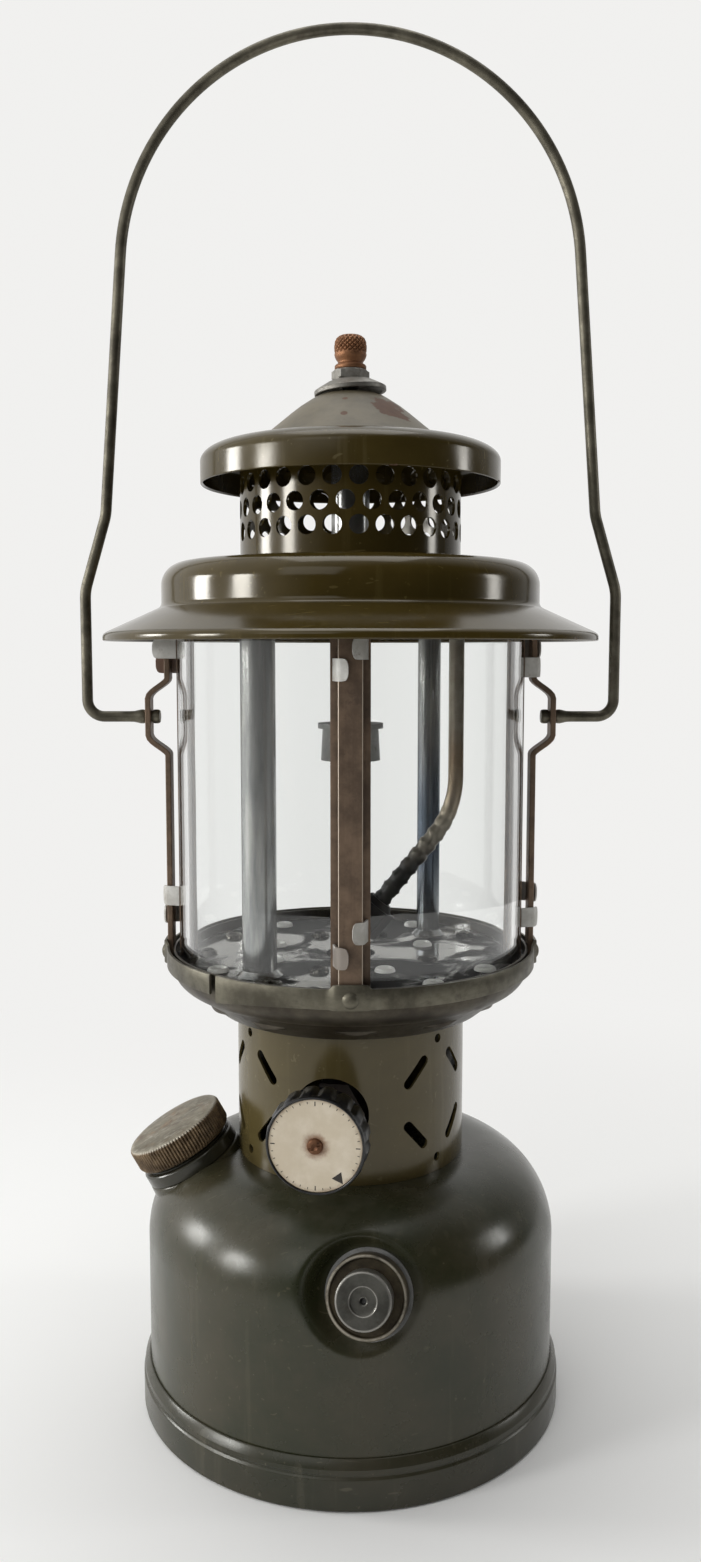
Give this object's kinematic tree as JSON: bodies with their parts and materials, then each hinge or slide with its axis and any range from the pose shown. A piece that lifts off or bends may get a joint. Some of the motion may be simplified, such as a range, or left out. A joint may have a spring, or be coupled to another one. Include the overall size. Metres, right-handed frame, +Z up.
{
  "type": "pressure lantern",
  "caption": "Gas lantern with a round pumped fount, pierced collar, handwheel valve, caged glass globe, enamelled ventilator and a swinging wire bail.",
  "frame": {"origin": "middle of the foot, on the surface the lantern stands on", "axes": "+Z up, front (handwheel and pump) towards -Y, right towards +X"},
  "size_m": [0.1598, 0.1444, 0.4039],
  "materials": {
    "olive": "satin olive paint, worn",
    "enamel": "gloss baked enamel, chipped",
    "cage_steel": "browned steel, semi-matt",
    "tube_steel": "satin steel with heat tint",
    "tin": "dull tinned steel",
    "brass": "aged, dull",
    "wheel": "black moulded, satin",
    "dial": "cream, stained",
    "leather": "oiled",
    "seal": "matt",
    "glass": "clear"
  },
  "bodies": {
    "lantern": {"fount_shell": "olive", "base_skirt": "olive", "fount_bottom": "olive", "filler_neck": "olive", "collar": "olive", "pump_cap": "olive", "globe_bowl": "cage_steel", "burner_plate": "cage_steel", "cage_band": "cage_steel", "cage_top_ring": "cage_steel", "cage_post_front": "cage_steel", "cage_post_back": "cage_steel", "cage_post_left": "cage_steel", "cage_post_right": "cage_steel", "post_rivets": "cage_steel", "generator_nut": "cage_steel", "pump_barrel": "tube_steel", "air_tube": "tube_steel", "support_tube": "tube_steel", "manifold": "tube_steel", "burner_cap": "tube_steel", "generator_tube": "tube_steel", "center_stud": "tube_steel", "pane_frame_front_left": "tin", "pane_frame_front_right": "tin", "pane_frame_back_left": "tin", "pane_frame_back_right": "tin", "check_valve": "brass", "fuel_pickup": "brass", "valve_body": "brass", "packing_nut": "brass", "gas_tip": "brass", "glass_panel_front_left": "glass", "glass_panel_front_right": "glass", "glass_panel_back_left": "glass", "glass_panel_back_right": "glass"},
    "bail": {"bail": "cage_steel"},
    "ventilator": {"ventilator_hood": "enamel", "ventilator_chimney": "enamel", "ventilator_cap": "enamel", "top_washer": "tube_steel", "lock_nut": "tube_steel"},
    "top_nut": {"ball_nut": "brass"},
    "valve_wheel": {"valve_stem": "brass", "valve_knob": "wheel", "knob_dial": "dial", "knob_screw": "brass"},
    "filler_seal": {"filler_gasket": "seal"},
    "filler_lid": {"filler_cap": "olive"},
    "pump_rod": {"air_stem": "tube_steel"},
    "pump_plunger": {"plunger_tube": "tube_steel", "pump_knob": "tube_steel", "pump_leather": "leather", "leather_retainer": "brass"}
  },
  "joints": [
    {"name": "bail_swing", "type": "hinge", "parent": "lantern", "child": "bail", "pos_m": [0, 0, 0.2079], "axis": [1, 0, 0], "range_deg": [-150, 150]},
    {"name": "ventilator_lift", "type": "slide", "parent": "lantern", "child": "ventilator", "axis": [0, 0, 1], "range_m": [0, 0.024]},
    {"name": "top_nut_turn", "type": "hinge", "parent": "ventilator", "child": "top_nut", "pos_m": [0, 0, 0.3133], "axis": [0, 0, 1], "continuous": true},
    {"name": "valve_turn", "type": "hinge", "parent": "lantern", "child": "valve_wheel", "pos_m": [0, 0, 0.0976], "axis": [-0.165, -0.9863, 0], "range_deg": [0, 540]},
    {"name": "filler_lift", "type": "slide", "parent": "lantern", "child": "filler_seal", "axis": [-0.4836, -0.0338, 0.8746], "range_m": [0, 0.04]},
    {"name": "filler_turn", "type": "hinge", "parent": "filler_seal", "child": "filler_lid", "pos_m": [-0.0487, -0.00341, 0.07407], "axis": [-0.4836, -0.0338, 0.8746], "range_deg": [0, 1080]},
    {"name": "pump_lock_turn", "type": "hinge", "parent": "lantern", "child": "pump_rod", "pos_m": [0.0042, -0.06075, 0.0585], "axis": [-0.157, -0.938, 0.309], "range_deg": [0, 720]},
    {"name": "pump_stroke", "type": "slide", "parent": "pump_rod", "child": "pump_plunger", "axis": [-0.157, -0.938, 0.309], "range_m": [0, 0.06]}
  ]
}
